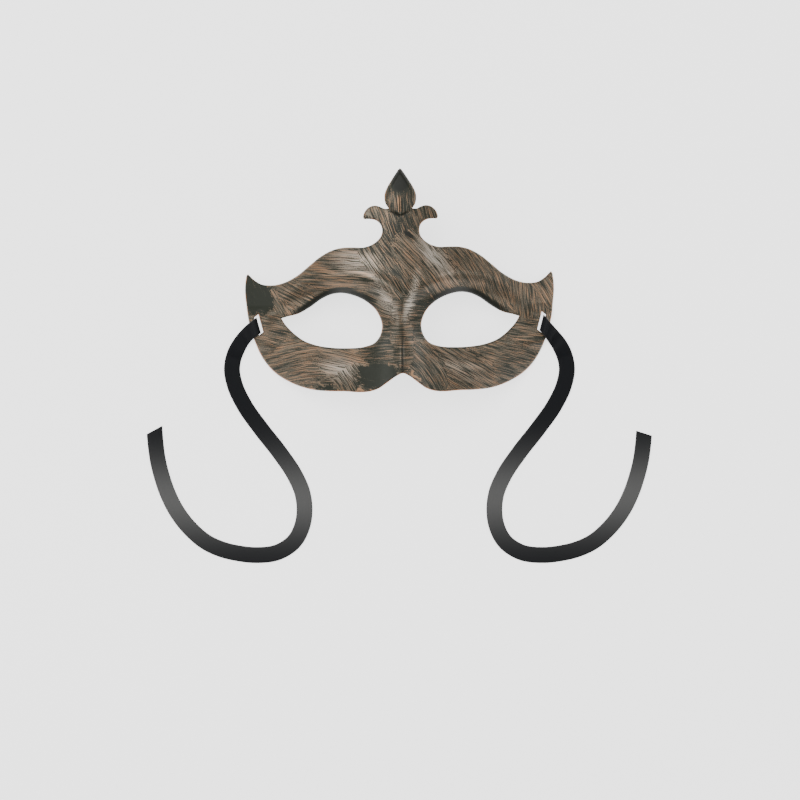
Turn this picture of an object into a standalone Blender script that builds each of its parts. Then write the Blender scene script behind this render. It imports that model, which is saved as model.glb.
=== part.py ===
"""Half mask with a fleur-de-lis crest, laid face up, and its two flat ribbon ties.

Metres, +Z up. +Y points to the crest, +X to the right of the picture. The mask rests on its
side rims at z = 0.
"""

import math

import bmesh
import bpy
import numpy
from mathutils import Vector
from mathutils.geometry import delaunay_2d_cdt

# Overall size of the mask
HALF_WIDTH = 0.090
HALF_HEIGHT = 0.065
WALL = 0.0020
RIM_THICKNESS = 0.0014
REST_WIDTH = 0.0020
REST_DEPTH = 0.0008

# Depth of the moulded form
ARCH_RISE = 0.040
ARCH_POWER = 1.25
CREST_LEAN = 0.006
CHIN_LEAN = 0.003
CHEEK_WRAP = 0.0095
BROW_RISE = 0.0030
CHEEK_RISE = 0.0020
SOCKET_DEPTH = 0.0065
NOSE_RISE = 0.014
PETAL_RISE = 0.0013
PETAL_EDGE = 0.0028

# Places and spreads of that form, as shares of the half width and of the half height
BROW_ACROSS, BROW_UP = 0.389, 0.062
BROW_SAG, BROW_SPREAD = 0.246, 0.108
CHEEK_ACROSS, CHEEK_UP = 0.500, -0.800
CHEEK_SPREAD_ACROSS, CHEEK_SPREAD_UP = 0.244, 0.154
SOCKET_ACROSS, SOCKET_UP = 0.433, -0.369
SOCKET_RADIUS_ACROSS, SOCKET_RADIUS_UP = 0.356, 0.262
SOCKET_FADE = 0.35
NOSE_TOP_UP, NOSE_TIP_UP = 0.185, -0.831
NOSE_SPREAD_TOP, NOSE_SPREAD_TIP = 0.083, 0.139
WRAP_TOP_UP, WRAP_DROP = -0.231, 0.523

# Strap slots, and the arch of the rim that lets the folded tie pass beneath it
SLOT_INSET = 0.0076
SLOT_UP = -0.3862
SLOT_LENGTH = 0.0108
SLOT_WIDTH = 0.0029
SLOT_SKEW = 0.0006
SLOT_ANGLE = math.radians(15.0)
BAR_CROSSING = 0.715
RIM_LIFT = 0.0027
RIM_LIFT_SHIFT = 0.0029
RIM_LIFT_FLAT = 0.0080
RIM_LIFT_LENGTH = 0.0140

# Ties: flat ribbon, folded round the outer bar of the slot and stuck to itself
TIE_WIDTH = 0.0094
TIE_THICKNESS = 0.0010
TIE_CLEARANCE = 0.0004
TIE_SLOT_SHIFT = 0.0002
TIE_JOIN_START = 0.0125
TIE_JOIN_END = 0.0185
TIE_LANDING = 0.0240
TIE_TURN = math.radians(-0.6)

# Mesh steps
EDGE_STEP = 0.0020
GRID_STEP = 0.0034
CREST_GRID_STEP = 0.0020
TIE_STEP = 0.0045

# Outline of the right half. Columns: share of the half width, share of the half height.
PETAL_SIDE = (
    (0.000, 1.000),
    (0.008, 0.992),
    (0.022, 0.966),
    (0.055, 0.897),
    (0.086, 0.825),
    (0.102, 0.765),
    (0.103, 0.732),
    (0.095, 0.680),
    (0.076, 0.641),
)
CURL_AND_BROW = (
    (0.076, 0.641),
    (0.100, 0.638),
    (0.132, 0.657),
    (0.161, 0.668),
    (0.194, 0.660),
    (0.222, 0.631),
    (0.239, 0.586),
    (0.241, 0.559),
    (0.235, 0.549),
    (0.211, 0.548),
    (0.160, 0.535),
    (0.132, 0.502),
    (0.120, 0.450),
    (0.128, 0.395),
    (0.148, 0.358),
    (0.183, 0.322),
    (0.237, 0.296),
    (0.311, 0.296),
    (0.378, 0.294),
    (0.433, 0.277),
    (0.511, 0.223),
    (0.589, 0.138),
    (0.667, 0.050),
    (0.744, -0.008),
    (0.822, -0.033),
    (0.900, -0.020),
    (0.948, 0.024),
    (0.973, 0.058),
    (0.982, 0.068),
    (0.988, 0.058),
)
SIDE_AND_CHEEK = (
    (0.9945, 0.020),
    (1.000, -0.062),
    (0.992, -0.217),
    (0.978, -0.360),
    (0.939, -0.540),
    (0.891, -0.684),
    (0.803, -0.827),
    (0.722, -0.899),
    (0.666, -0.935),
    (0.579, -0.971),
    (0.467, -0.988),
    (0.367, -0.991),
    (0.256, -1.000),
    (0.206, -0.993),
    (0.161, -0.973),
    (0.097, -0.914),
    (0.042, -0.859),
)
NOSE_NOTCH_TOP = (0.000, -0.834)
PETAL_BASE = ((0.058, 0.612), (0.028, 0.587), (0.000, 0.577))

# Right eye opening, from its outer corner over the top and back. Same columns.
EYE_OPENING = (
    (0.769, -0.331),
    (0.733, -0.316),
    (0.663, -0.292),
    (0.586, -0.234),
    (0.508, -0.159),
    (0.450, -0.123),
    (0.392, -0.111),
    (0.314, -0.130),
    (0.237, -0.178),
    (0.159, -0.278),
    (0.127, -0.416),
    (0.140, -0.493),
    (0.178, -0.560),
    (0.237, -0.591),
    (0.353, -0.604),
    (0.450, -0.598),
    (0.547, -0.575),
    (0.624, -0.535),
    (0.702, -0.452),
    (0.747, -0.382),
    (0.769, -0.331),
)

# Route of the right tie on the table. Columns: x, y from the slot's centre, in metres.
TIE_ROUTE = (
    (0.0059, -0.0061),
    (0.0107, -0.0124),
    (0.0137, -0.0184),
    (0.0152, -0.0262),
    (0.0136, -0.0355),
    (0.0082, -0.0472),
    (-0.0016, -0.0612),
    (-0.0125, -0.0751),
    (-0.0218, -0.0891),
    (-0.0258, -0.0985),
    (-0.0271, -0.1078),
    (-0.0260, -0.1171),
    (-0.0209, -0.1271),
    (-0.0124, -0.1329),
    (0.0021, -0.1349),
    (0.0114, -0.1339),
    (0.0207, -0.1317),
    (0.0300, -0.1275),
    (0.0394, -0.1196),
    (0.0483, -0.1078),
    (0.0528, -0.0985),
    (0.0560, -0.0891),
    (0.0583, -0.0798),
    (0.0596, -0.0705),
    (0.0603, -0.0620),
)
# Columns: node name, side of the mask, length cut off the route, slant of the cut end
TIES = (
    ("ribbon_left", -1, 0.0, 0.0043),
    ("ribbon_right", 1, 0.0019, 0.0023),
)


def clear_scene():
    """Start from an empty scene."""
    for item in list(bpy.data.objects):
        bpy.data.objects.remove(item, do_unlink=True)


def paint(name, colour, metallic, roughness):
    """A plain surface of one colour."""
    material = bpy.data.materials.new(name)
    material.use_nodes = True
    shader = material.node_tree.nodes["Principled BSDF"]
    shader.inputs["Base Color"].default_value = (*colour, 1.0)
    shader.inputs["Metallic"].default_value = metallic
    shader.inputs["Roughness"].default_value = roughness
    return material


def curve_through(points, step):
    """Points about one step apart on a smooth curve that passes through every given point."""
    knots = numpy.array(points, dtype=float)
    chords = numpy.linalg.norm(numpy.diff(knots, axis=0), axis=1)[:, None]
    slopes = numpy.diff(knots, axis=0) / chords
    tangents = numpy.empty_like(knots)
    tangents[1:-1] = (chords[1:] * slopes[:-1] + chords[:-1] * slopes[1:]) / (
        chords[:-1] + chords[1:]
    )
    tangents[0] = 1.5 * slopes[0] - 0.5 * tangents[1]
    tangents[-1] = 1.5 * slopes[-1] - 0.5 * tangents[-2]
    found = [knots[0]]
    for i, chord in enumerate(chords[:, 0]):
        count = max(1, round(chord / step))
        for k in range(1, count + 1):
            s = k / count
            found.append(
                (2 * s**3 - 3 * s**2 + 1) * knots[i]
                + (s**3 - 2 * s**2 + s) * chord * tangents[i]
                + (3 * s**2 - 2 * s**3) * knots[i + 1]
                + (s**3 - s**2) * chord * tangents[i + 1]
            )
    return numpy.array(found)


def real_size(shares):
    """Shares of the half width and half height as metres."""
    return numpy.array(shares) * (HALF_WIDTH, HALF_HEIGHT)


def mirrored(points):
    """The same points on the other side of the mask, in the opposite order."""
    return numpy.array(points)[::-1] * (-1, 1)


def mask_outline():
    """The whole outer edge as one closed loop."""
    petal = real_size(PETAL_SIDE)
    petal_loop = curve_through(numpy.vstack((mirrored(petal), petal[1:])), EDGE_STEP)
    half = real_size(CURL_AND_BROW + SIDE_AND_CHEEK)
    nose = real_size([NOSE_NOTCH_TOP])
    body_loop = curve_through(numpy.vstack((half, nose, mirrored(half))), EDGE_STEP)
    return numpy.vstack((petal_loop[:-1], body_loop[:-1]))


def eye_loop():
    """The right eye opening as a closed loop."""
    return curve_through(real_size(EYE_OPENING), EDGE_STEP)[:-1]


def slot_frame():
    """Centre of the right slot, the direction of its length and the direction to the rim."""
    along = numpy.array((-math.sin(SLOT_ANGLE), -math.cos(SLOT_ANGLE)))
    outward = numpy.array((math.cos(SLOT_ANGLE), -math.sin(SLOT_ANGLE)))
    centre = numpy.array((HALF_WIDTH - SLOT_INSET, SLOT_UP * HALF_HEIGHT))
    return centre, along, outward


def slot_loop():
    """The right slot as a closed loop with slanted ends."""
    centre, along, outward = slot_frame()
    corners = []
    for side, end in ((1, -1), (1, 1), (-1, 1), (-1, -1)):
        run = end * SLOT_LENGTH / 2 + side * SLOT_SKEW
        corners.append(centre + outward * side * SLOT_WIDTH / 2 + along * run)
    loop = []
    for i, corner in enumerate(corners):
        following = corners[(i + 1) % 4]
        count = max(1, round(numpy.linalg.norm(following - corner) / EDGE_STEP))
        for k in range(count):
            loop.append(corner + (following - corner) * k / count)
    return numpy.array(loop)


def inside(points, loop):
    """Which points lie inside a closed loop."""
    found = numpy.zeros(len(points), dtype=bool)
    x, y = points[:, 0], points[:, 1]
    for (x0, y0), (x1, y1) in zip(loop, numpy.roll(loop, -1, axis=0)):
        if y0 == y1:
            continue
        crossed = (y0 > y) != (y1 > y)
        found ^= crossed & (x < x0 + (y - y0) * (x1 - x0) / (y1 - y0))
    return found


def staggered_grid(step, low, high):
    """Points on a grid whose rows are offset like bricks."""
    rows = numpy.arange(low[1], high[1], step * math.sqrt(0.75))
    found = []
    for i, y in enumerate(rows):
        for x in numpy.arange(low[0] + (i % 2) * step / 2, high[0], step):
            found.append((x, y))
    return numpy.array(found)


def ease(value):
    """A smooth step from 0 to 1 as the value goes from 0 to 1."""
    share = numpy.clip(value, 0.0, 1.0)
    return share * share * (3.0 - 2.0 * share)


def bell(value, spread):
    """A hump that is 1 at zero and fades over the spread."""
    return numpy.exp(-((value / spread) ** 2))


def petal_half_width(y):
    """Half width of the raised petal at a height, down to the point of its base."""
    side = numpy.vstack((real_size(PETAL_BASE)[::-1], real_size(PETAL_SIDE)[::-1]))
    return numpy.interp(y, side[:, 1], side[:, 0], left=0.0, right=0.0)


def front_height(x, y):
    """Height of the mask's front surface above the table."""
    across = numpy.clip(numpy.abs(x) / HALF_WIDTH, 0.0, 1.0)
    up = y / HALF_HEIGHT
    inward = 1.0 - across**2
    height = RIM_THICKNESS + ARCH_RISE * inward**ARCH_POWER
    below = numpy.clip(WRAP_TOP_UP - up, 0.0, None)
    height -= CHEEK_WRAP * (below / WRAP_DROP) ** 2 * across**2
    height -= CHIN_LEAN * (below / (1.0 + WRAP_TOP_UP)) ** 2 * inward
    height -= CREST_LEAN * numpy.clip(up, 0.0, None) ** 2 * inward
    crest = BROW_UP - BROW_SAG * (across / BROW_ACROSS - 1.0) ** 2
    height += BROW_RISE * bell(up - crest, BROW_SPREAD) * inward
    cheek = bell(up - CHEEK_UP, CHEEK_SPREAD_UP)
    height += CHEEK_RISE * cheek * bell(across - CHEEK_ACROSS, CHEEK_SPREAD_ACROSS)
    aside = (across - SOCKET_ACROSS) / SOCKET_RADIUS_ACROSS
    above = (up - SOCKET_UP) / SOCKET_RADIUS_UP
    sunk = bell(numpy.clip(numpy.hypot(aside, above) - 1.0, 0.0, None), SOCKET_FADE)
    height -= SOCKET_DEPTH * sunk * (0.35 + 0.65 * ease(above + 0.9)) * inward
    down = ease((NOSE_TOP_UP - up) / (NOSE_TOP_UP - NOSE_TIP_UP))
    spread = NOSE_SPREAD_TOP + (NOSE_SPREAD_TIP - NOSE_SPREAD_TOP) * down
    height += NOSE_RISE * down * bell(across, spread)
    petal = numpy.clip(petal_half_width(y) - numpy.abs(x), 0.0, None)
    height += PETAL_RISE * ease(petal / PETAL_EDGE)
    from_slot = numpy.abs(y - slot_frame()[0][1] + RIM_LIFT_SHIFT)
    lifted = ease((RIM_LIFT_LENGTH - from_slot) / (RIM_LIFT_LENGTH - RIM_LIFT_FLAT))
    height += RIM_LIFT * lifted * ease((across - 0.72) / 0.18)
    return height


def back_height(x, y):
    """Height of the mask's back surface, which is flat where the side rims rest."""
    probe = 0.1 * WALL
    slope_x = (front_height(x + probe, y) - front_height(x - probe, y)) / (2 * probe)
    slope_y = (front_height(x, y + probe) - front_height(x, y - probe)) / (2 * probe)
    steepness = numpy.minimum(numpy.sqrt(1.0 + slope_x**2 + slope_y**2), 1.6)
    height = front_height(x, y) - WALL * steepness
    return numpy.where(height < REST_DEPTH, 0.0, height)


def inner_ring(loop, width):
    """Points one width inside a closed loop, left out where the loop is too tight for them."""
    ways = numpy.roll(loop, -1, axis=0) - numpy.roll(loop, 1, axis=0)
    ways /= numpy.linalg.norm(ways, axis=1)[:, None]
    ring = loop + width * numpy.column_stack((ways[:, 1], -ways[:, 0]))
    gaps = numpy.linalg.norm(ring[:, None] - loop[None], axis=2).min(axis=1)
    return ring[inside(ring, loop) & (gaps > 0.9 * width)]


def triangulated_plan(loops, extra):
    """Triangles between the first loop and the others, through the extra points."""
    points = [Vector(p) for loop in loops for p in loop] + [Vector(p) for p in extra]
    edges = []
    start = 0
    for loop in loops:
        count = len(loop)
        edges += [(start + i, start + (i + 1) % count) for i in range(count)]
        start += count
    plan = delaunay_2d_cdt(points, edges, [], 0, 1e-7)
    corners = numpy.array([tuple(p) for p in plan[0]])
    faces = numpy.array([f for f in plan[2] if len(f) == 3])
    middles = corners[faces].mean(axis=1)
    kept = inside(middles, loops[0])
    for loop in loops[1:]:
        kept &= ~inside(middles, loop)
    return corners, faces[kept]


def mask_shell(material):
    """The moulded mask with its crest, eye openings and slots."""
    outline = mask_outline()
    holes = [eye_loop(), mirrored(eye_loop()), slot_loop(), mirrored(slot_loop())]
    loops = [outline] + holes
    low, high = outline.min(axis=0), outline.max(axis=0)
    main = staggered_grid(GRID_STEP, low, high)
    neck_y = real_size(CURL_AND_BROW)[:, 1].max() * 0.45
    main = main[main[:, 1] < neck_y]
    crest = staggered_grid(CREST_GRID_STEP, (low[0], neck_y + GRID_STEP / 2), high)
    extra = list(inner_ring(outline, REST_WIDTH))
    edge_points = numpy.vstack((*loops, extra))
    for grid, step in ((main, GRID_STEP), (crest, CREST_GRID_STEP)):
        free = inside(grid, outline)
        for hole in holes:
            free &= ~inside(grid, hole)
        for p in grid[free]:
            if numpy.linalg.norm(edge_points - p, axis=1).min() > 0.55 * step:
                extra.append(p)
    corners, faces = triangulated_plan(loops, extra)
    front = front_height(corners[:, 0], corners[:, 1])
    back = back_height(corners[:, 0], corners[:, 1])
    count = len(corners)
    vertices = [(x, y, z) for (x, y), z in zip(corners, front)]
    vertices += [(x, y, z) for (x, y), z in zip(corners, back)]
    polygons = []
    uses = {}
    for a, b, c in faces.tolist():
        polygons.append((a, b, c))
        polygons.append((c + count, b + count, a + count))
        for edge in ((a, b), (b, c), (c, a)):
            uses[edge] = True
    for a, b in list(uses):
        if (b, a) not in uses:
            polygons.append((b, a, a + count, b + count))
    return add_solid("mask_shell", vertices, polygons, material)


def tie_plan(side):
    """The tie's route on the table from its fold in the slot to the cut end."""
    centre, along, outward = slot_frame()
    fold = centre + outward * (SLOT_WIDTH / 2 - TIE_CLEARANCE - TIE_THICKNESS)
    fold = (fold + along * TIE_SLOT_SHIFT) * (side, 1)
    turn = numpy.array(
        (
            (math.cos(TIE_TURN), -math.sin(TIE_TURN)),
            (math.sin(TIE_TURN), math.cos(TIE_TURN)),
        )
    )
    route = ((numpy.array(TIE_ROUTE) + centre) * (side, 1)) @ turn.T
    return curve_through(numpy.vstack((fold, route)), TIE_THICKNESS / 2)


def tie_frame(side, trim):
    """A function from run, across and height to a point, and the tie's whole run."""
    path = tie_plan(side)
    runs = numpy.concatenate(
        ([0.0], numpy.cumsum(numpy.linalg.norm(numpy.diff(path, axis=0), axis=1)))
    )
    whole = runs[-1] - trim
    ways = numpy.gradient(path, runs, axis=0)
    slot_way = slot_frame()[1] * (side, 1)

    def place(run, across, height):
        x, y = (numpy.interp(run, runs, path[:, k]) for k in (0, 1))
        way = numpy.array([numpy.interp(run, runs, ways[:, k]) for k in (0, 1)])
        normal = side * numpy.array((way[1], -way[0])) / numpy.linalg.norm(way)
        share = float(ease((run - 2 * TIE_THICKNESS) / TIE_LANDING))
        width_way = slot_way * (1 - share) + normal * share
        width_way /= numpy.linalg.norm(width_way)
        return x + across * width_way[0], y + across * width_way[1], height

    return place, whole


def tie_loop(place):
    """Heights of the fold round the slot's outer bar. Columns: run, height."""
    bar_start = (TIE_CLEARANCE + TIE_THICKNESS) / math.cos(math.radians(25.0))
    half = TIE_THICKNESS / 2
    spans = numpy.linspace(-TIE_WIDTH / 2, TIE_WIDTH / 2, 7)

    def over(run):
        spots = numpy.array([place(run, v, 0.0)[:2] for v in spans])
        return front_height(spots[:, 0], spots[:, 1]).max() + TIE_CLEARANCE + half

    def under(run):
        spots = numpy.array([place(run, v, 0.0)[:2] for v in spans])
        return back_height(spots[:, 0], spots[:, 1]).min() - TIE_CLEARANCE - half

    rim = bar_start + BAR_CROSSING * (SLOT_INSET - SLOT_WIDTH / 2)
    top = over(bar_start)
    bottom = under(bar_start)
    upper = [
        (TIE_LANDING, half),
        (TIE_JOIN_END + half, 3 * half),
        (TIE_JOIN_END, 3 * half),
        (TIE_JOIN_START, 3 * half),
        (0.75 * rim + 0.25 * TIE_JOIN_START, over(rim) - TIE_CLEARANCE),
        (rim, over(rim)),
        ((rim + bar_start) / 2, over((rim + bar_start) / 2)),
        (bar_start, top),
        (bar_start - half, top - 0.2 * half),
        (half, top - 1.6 * half),
    ]
    lower = [
        (half, bottom + 1.6 * half),
        (bar_start - half, bottom + 0.2 * half),
        (bar_start, bottom),
        ((rim + bar_start) / 2, under((rim + bar_start) / 2)),
        (rim, min(under(rim), TIE_THICKNESS)),
        (0.6 * rim + 0.4 * TIE_JOIN_START, half),
        (TIE_JOIN_START, half),
        (TIE_JOIN_END, half),
    ]
    return upper, lower


def ribbon(name, side, trim, slant, material):
    """One tie: a flat strip along its route, folded round the bar and joined to itself."""
    place, whole = tie_frame(side, trim)
    upper, lower = tie_loop(place)
    half = TIE_THICKNESS / 2
    count = round((whole - TIE_LANDING) / TIE_STEP)
    free = [(whole - (whole - TIE_LANDING) * i / count, half) for i in range(count)]
    line = numpy.array(free + upper + lower)
    ways = numpy.gradient(line, axis=0)
    for i in range(1, len(line) - 1):
        before = line[i] - line[i - 1]
        after = line[i + 1] - line[i]
        ways[i] = before / numpy.linalg.norm(before) + after / numpy.linalg.norm(after)
    ways /= numpy.linalg.norm(ways, axis=1)[:, None]
    outer = line + half * numpy.column_stack((ways[:, 1], -ways[:, 0]))
    inner = line - half * numpy.column_stack((ways[:, 1], -ways[:, 0]))
    join = [len(free) + 2, len(free) + 3]
    profile = numpy.vstack((outer, inner))
    partner = list(range(len(line), 2 * len(line)))
    for flat in (*join, len(line) - 2, len(line) - 1):
        height = line[flat][1]
        lean = 1 if flat in join else -1
        profile[flat] = line[flat] + (0, lean * half)
        profile[len(line) + flat] = (line[flat][0], height - lean * half)
    partner[-2], partner[-1] = partner[join[1]], partner[join[0]]
    vertices = []
    for v in (-TIE_WIDTH / 2, TIE_WIDTH / 2):
        for run, height in profile:
            height = max(height, 0.0)
            vertices.append(place(run, v, height))
            if run == whole:
                vertices[-1] = slanted(place, run, v, height, -slant * v / TIE_WIDTH)
    far = len(profile)
    polygons = []
    uses = {}
    for i in range(len(line) - 1):
        cell = (i, i + 1, partner[i + 1], partner[i])
        polygons.append(cell)
        polygons.append(tuple(k + far for k in reversed(cell)))
        for k in range(4):
            uses[(cell[k], cell[(k + 1) % 4])] = True
    for a, b in list(uses):
        if (b, a) not in uses:
            polygons.append((b, a, a + far, b + far))
    return add_solid(name, vertices, polygons, material)


def slanted(place, run, v, height, shift):
    """A corner of the slanted cut end, moved along the tie's last direction."""
    end = numpy.array(place(run, v, height))
    way = end - numpy.array(place(run - TIE_THICKNESS, v, height))
    return tuple(end + shift * way / numpy.linalg.norm(way))


def add_solid(name, vertices, polygons, material):
    """Put a closed solid into the scene with its faces turned outward."""
    mesh = bpy.data.meshes.new(name)
    mesh.from_pydata(vertices, [], polygons)
    shape = bmesh.new()
    shape.from_mesh(mesh)
    loose = [v for v in shape.verts if not v.link_faces]
    bmesh.ops.delete(shape, geom=loose, context="VERTS")
    bmesh.ops.recalc_face_normals(shape, faces=shape.faces)
    bmesh.ops.triangulate(shape, faces=shape.faces)
    for face in shape.faces:
        face.smooth = True
    shape.to_mesh(mesh)
    shape.free()
    mesh.set_sharp_from_angle(angle=math.radians(35.0))
    mesh.materials.append(material)
    item = bpy.data.objects.new(name, mesh)
    bpy.context.scene.collection.objects.link(item)
    return item


def main():
    """Build the mask and its two ties."""
    clear_scene()
    copper = paint("aged_copper", (0.13, 0.10, 0.075), 0.5, 0.45)
    satin = paint("black_satin", (0.02, 0.02, 0.022), 0.0, 0.4)
    mask_shell(copper)
    for name, side, trim, slant in TIES:
        ribbon(name, side, trim, slant, satin)


main()
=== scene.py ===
"""A half mask with a fleur-de-lis crest, dressed in brushed copper paint, and its black ties.

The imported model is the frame. Places are in metres in that frame: +X to the right of the
picture, +Y to the crest, +Z up, with the mask face up on the table. Paint is laid out in
millimetres on the same axes.
"""

import logging
import math
from dataclasses import dataclass, field
from enum import Enum

import bpy
import numpy
from mathutils import Matrix, Vector
from mathutils.geometry import delaunay_2d_cdt
from mathutils.kdtree import KDTree


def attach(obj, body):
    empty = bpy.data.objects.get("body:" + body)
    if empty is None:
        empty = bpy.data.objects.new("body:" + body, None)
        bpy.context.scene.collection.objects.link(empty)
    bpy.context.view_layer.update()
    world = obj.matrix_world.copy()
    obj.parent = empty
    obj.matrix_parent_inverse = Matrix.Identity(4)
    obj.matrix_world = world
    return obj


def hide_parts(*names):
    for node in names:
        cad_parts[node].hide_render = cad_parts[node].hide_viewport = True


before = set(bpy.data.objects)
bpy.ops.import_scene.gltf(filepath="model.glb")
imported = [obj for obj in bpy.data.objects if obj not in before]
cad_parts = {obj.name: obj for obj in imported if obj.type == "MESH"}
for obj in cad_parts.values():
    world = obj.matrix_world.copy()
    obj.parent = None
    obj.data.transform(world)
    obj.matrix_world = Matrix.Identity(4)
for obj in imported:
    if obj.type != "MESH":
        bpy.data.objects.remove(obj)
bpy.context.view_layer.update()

LOG = logging.getLogger("mask_scene")
BODY = "root"

Array = numpy.ndarray
Colour = tuple[float, float, float]
Pair = tuple[float, float]
Input = float | tuple | bpy.types.NodeSocket


class Side(Enum):
    """The two sides of the mask, with the sign of their X."""

    LEFT = -1
    RIGHT = 1


class Face(Enum):
    """Which material slot a face of the shell takes."""

    FRONT = 0
    BACK = 1


def ease(value: Array | float) -> Array:
    """A smooth step.

    Args:
        value: Numbers that run from 0 to 1 over the step.

    Returns:
        The eased numbers, clipped to 0 and 1.
    """
    share = numpy.clip(value, 0.0, 1.0)
    return share * share * (3.0 - 2.0 * share)


def bell(value: Array | float, spread: Array | float) -> Array:
    """A hump that is 1 at zero.

    Args:
        value: Distances from the top of the hump.
        spread: Distance at which the hump has fallen to about a third.

    Returns:
        The heights of the hump.
    """
    return numpy.exp(-((value / spread) ** 2))


def curve_through(points: Array | tuple, step: float) -> Array:
    """Points on a smooth curve that passes through every given point.

    Args:
        points: Knots of the curve, one row each.
        step: Wished distance between the points that come back.

    Returns:
        The points, with both ends among them.
    """
    knots = numpy.array(points, dtype=float)
    chords = numpy.linalg.norm(numpy.diff(knots, axis=0), axis=1)[:, None]
    slopes = numpy.diff(knots, axis=0) / chords
    tangents = numpy.empty_like(knots)
    tangents[1:-1] = (chords[1:] * slopes[:-1] + chords[:-1] * slopes[1:]) / (
        chords[:-1] + chords[1:]
    )
    tangents[0] = 1.5 * slopes[0] - 0.5 * tangents[1]
    tangents[-1] = 1.5 * slopes[-1] - 0.5 * tangents[-2]
    found = [knots[0]]
    for i, chord in enumerate(chords[:, 0]):
        count = max(1, round(chord / step))
        for k in range(1, count + 1):
            s = k / count
            found.append(
                (2 * s**3 - 3 * s**2 + 1) * knots[i]
                + (s**3 - 2 * s**2 + s) * chord * tangents[i]
                + (3 * s**2 - 2 * s**3) * knots[i + 1]
                + (s**3 - s**2) * chord * tangents[i + 1]
            )
    return numpy.array(found)


def mirrored(points: Array | tuple) -> Array:
    """The same points on the other side of the mask, in the opposite order.

    Args:
        points: Rows of x and y.

    Returns:
        The mirrored rows.
    """
    return numpy.array(points)[::-1] * (-1, 1)


def inside(points: Array, loop: Array) -> Array:
    """Which points lie inside a closed loop.

    Args:
        points: Rows of x and y.
        loop: Corners of the loop in order.

    Returns:
        One truth value for each point.
    """
    found = numpy.zeros(len(points), dtype=bool)
    x, y = points[:, 0], points[:, 1]
    for (x0, y0), (x1, y1) in zip(loop, numpy.roll(loop, -1, axis=0)):
        if y0 == y1:
            continue
        crossed = (y0 > y) != (y1 > y)
        found ^= crossed & (x < x0 + (y - y0) * (x1 - x0) / (y1 - y0))
    return found


def mesh_object(name: str, vertices: list, polygons: list) -> bpy.types.Object:
    """Put a smooth mesh into the scene.

    Args:
        name: Name of the object and its mesh.
        vertices: Points of the mesh.
        polygons: Corner numbers of each face.

    Returns:
        The new object.
    """
    mesh = bpy.data.meshes.new(name)
    mesh.from_pydata(vertices, [], polygons)
    mesh.polygons.foreach_set("use_smooth", [True] * len(mesh.polygons))
    mesh.update()
    item = bpy.data.objects.new(name, mesh)
    bpy.context.scene.collection.objects.link(item)
    return item


def point_values(item: bpy.types.Object, name: str, values: Array) -> None:
    """Keep one number for each point of a mesh, for a material to read.

    Args:
        item: The object with the mesh.
        name: Name of the numbers.
        values: The numbers in the order of the points.
    """
    layer = item.data.attributes.new(name, "FLOAT", "POINT")
    layer.data.foreach_set("value", numpy.asarray(values, dtype=numpy.float32))


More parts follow.
